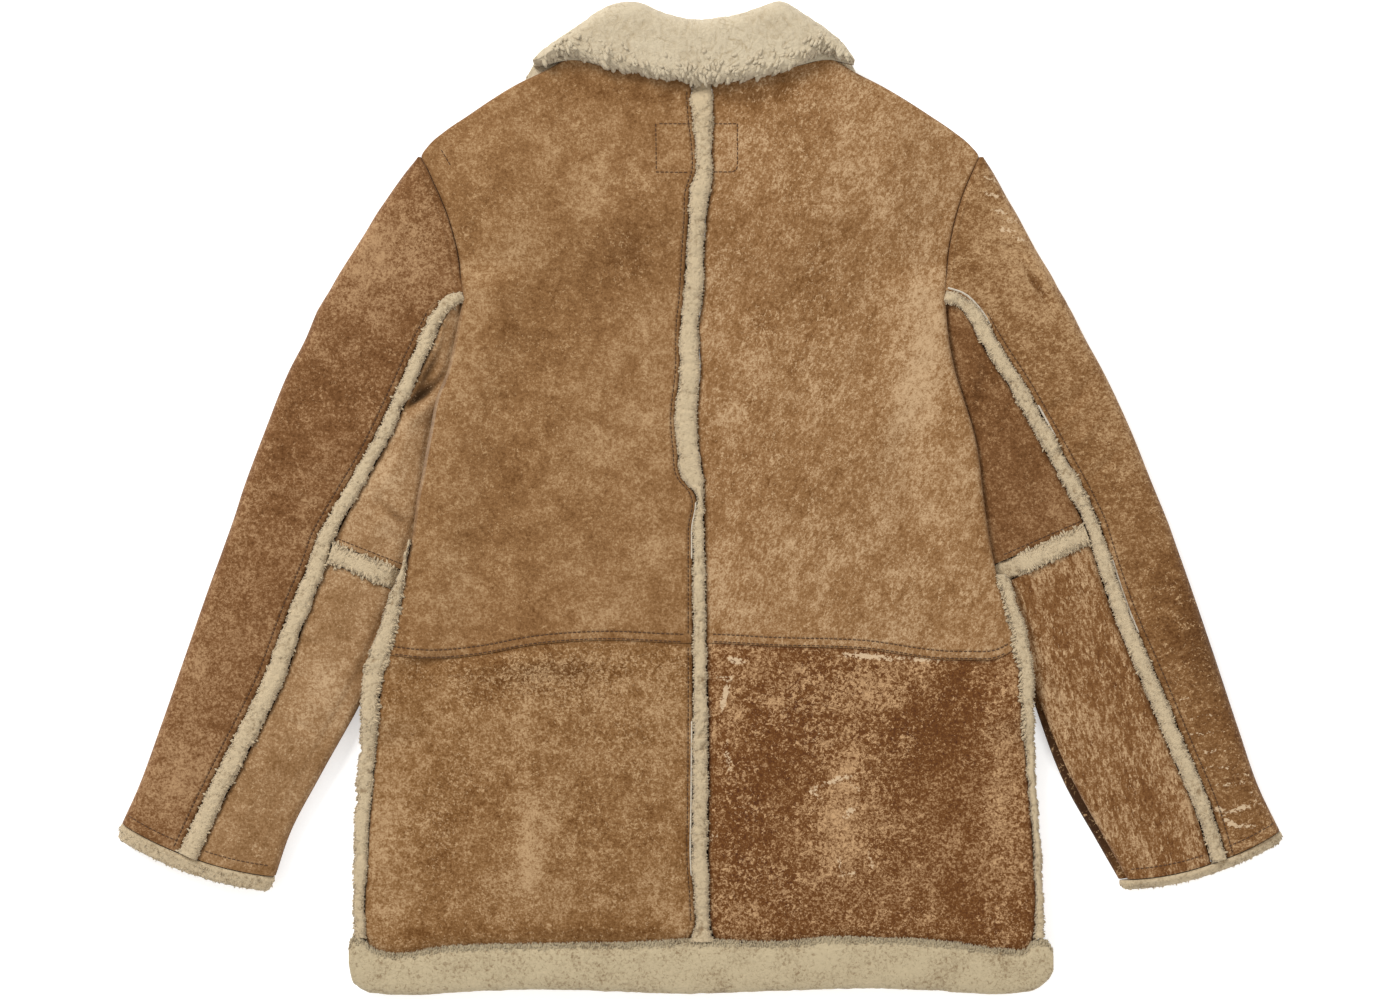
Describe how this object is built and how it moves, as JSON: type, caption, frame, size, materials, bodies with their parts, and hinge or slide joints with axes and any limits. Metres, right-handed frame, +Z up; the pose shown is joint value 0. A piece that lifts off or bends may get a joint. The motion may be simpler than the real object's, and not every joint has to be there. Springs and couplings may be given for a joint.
{
  "type": "shearling coat, laid flat, back up",
  "caption": "Tan shearling coat laid flat with its back up: fleece collar turned down, fleece edges along the seams, fleece hem band and cuff rims.",
  "frame": {"origin": "middle of the coat's bounding box, on the surface that it lies on", "axes": "+Z up from the surface and out of the back, +X across the coat to the wearer's right, +Y from the hem to the collar"},
  "size_m": [1.0012, 0.8514, 0.0467],
  "materials": {
    "hide": "tan sheepskin suede, dry and mottled, rubbed pale in places",
    "hide_dark": "darker brown sheepskin suede with pale speckles",
    "fleece": "clipped cream fleece in small curls, matt"
  },
  "bodies": {
    "root": {"back_upper_left": "hide", "back_upper_right": "hide", "back_lower_left": "hide", "back_lower_right": "hide_dark", "front_left": "hide", "front_right": "hide", "centre_back_welt": "fleece", "side_welt_left": "fleece", "side_welt_right": "fleece", "hem_band_back": "fleece", "hem_band_front_left": "fleece", "hem_band_front_right": "fleece", "collar_back": "fleece", "collar_front_left": "fleece", "collar_front_right": "fleece", "sleeve_outer_left": "hide", "sleeve_under_upper_left": "hide", "sleeve_under_lower_left": "hide", "sleeve_welt_left": "fleece", "elbow_welt_left": "fleece", "cuff_rim_left": "fleece", "sleeve_outer_right": "hide", "sleeve_under_upper_right": "hide_dark", "sleeve_under_lower_right": "hide", "sleeve_welt_right": "fleece", "elbow_welt_right": "fleece", "cuff_rim_right": "fleece"}
  },
  "joints": []
}
